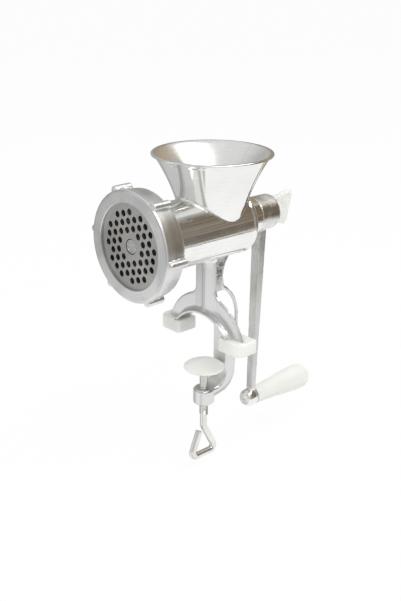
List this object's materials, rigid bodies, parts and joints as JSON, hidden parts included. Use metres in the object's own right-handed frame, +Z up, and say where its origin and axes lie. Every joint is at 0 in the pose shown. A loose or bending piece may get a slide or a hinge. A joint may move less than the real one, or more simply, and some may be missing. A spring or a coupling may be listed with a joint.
{
  "type": "hand-cranked meat grinder",
  "caption": "Clamp-on manual meat grinder with a round funnel, a hole plate behind a ring nut, a worm and a cross knife inside, a crank with a plastic grip and a clamp screw with a disc.",
  "frame": {"origin": "on the clamp screw's axis, in the plane of the foot pads' undersides, where the table top lies", "axes": "+Z up along the clamp screw, -Y to the hole plate where the meat leaves, +Y to the crank"},
  "size_m": [0.0939, 0.2005, 0.2557],
  "materials": {
    "cast_aluminium": "polished barrel and funnel, satin leg and arm",
    "ring_aluminium": "satin, turned",
    "plate_steel": "ground",
    "tool_steel": "ground",
    "worm_casting": "as cast, dull",
    "crank_casting": "satin",
    "zinc_steel": "zinc plated",
    "white_plastic": "moulded, slightly translucent",
    "washer_plastic": "matte"
  },
  "bodies": {
    "body": {"casting_hopper": "cast_aluminium", "casting_head": "cast_aluminium", "casting_barrel": "cast_aluminium", "casting_leg": "cast_aluminium", "casting_clamp_arm": "cast_aluminium", "plate_pin": "tool_steel", "thrust_washer": "washer_plastic", "left_foot_pad": "white_plastic", "right_foot_pad": "white_plastic"},
    "worm": {"worm": "worm_casting", "knife": "tool_steel", "knife_stud": "tool_steel", "worm_shaft": "tool_steel"},
    "crank": {"crank_arm": "crank_casting", "grip_axle": "zinc_steel", "axle_washer": "zinc_steel"},
    "wing": {"wing_knob": "white_plastic", "wing_stud": "zinc_steel"},
    "grip": {"grip": "white_plastic"},
    "plate": {"hole_plate": "plate_steel"},
    "ring": {"ring_nut": "ring_aluminium"},
    "disc": {"clamp_disc": "white_plastic", "disc_washer": "zinc_steel"},
    "screw": {"clamp_screw": "zinc_steel"}
  },
  "joints": [
    {"name": "crank_turn", "type": "hinge", "parent": "body", "child": "worm", "pos_m": [0, 0, 0.094], "axis": [0, -1, 0], "continuous": true},
    {"name": "crank_off", "type": "slide", "parent": "worm", "child": "crank", "axis": [0, 1, 0], "range_m": [0, 0.012]},
    {"name": "wing_turn", "type": "hinge", "parent": "crank", "child": "wing", "pos_m": [0, 0.08, 0.094], "axis": [0, 1, 0], "range_deg": [0, 3457]},
    {"name": "grip_turn", "type": "hinge", "parent": "crank", "child": "grip", "pos_m": [0, 0.09, -0.0685], "axis": [0, 1, 0], "continuous": true},
    {"name": "plate_off", "type": "slide", "parent": "body", "child": "plate", "axis": [0, -1, 0], "range_m": [0, 0.012]},
    {"name": "ring_turn", "type": "hinge", "parent": "plate", "child": "ring", "pos_m": [0, -0.067, 0.094], "axis": [0, -1, 0], "range_deg": [0, 1441]},
    {"name": "clamp_travel", "type": "slide", "parent": "body", "child": "disc", "axis": [0, 0, 1], "range_m": [-0.009, 0.015]},
    {"name": "clamp_turn", "type": "hinge", "parent": "disc", "child": "screw", "pos_m": [0, 0, -0.05], "axis": [0, 0, 1], "range_deg": [-2161, 3601]}
  ],
  "couplings": [
    {"joint": "wing_turn", "follows": "crank_off", "rad_per_m": 5026.5},
    {"joint": "ring_turn", "follows": "plate_off", "rad_per_m": 2094.4},
    {"joint": "clamp_turn", "follows": "clamp_travel", "rad_per_m": 4188.8}
  ]
}
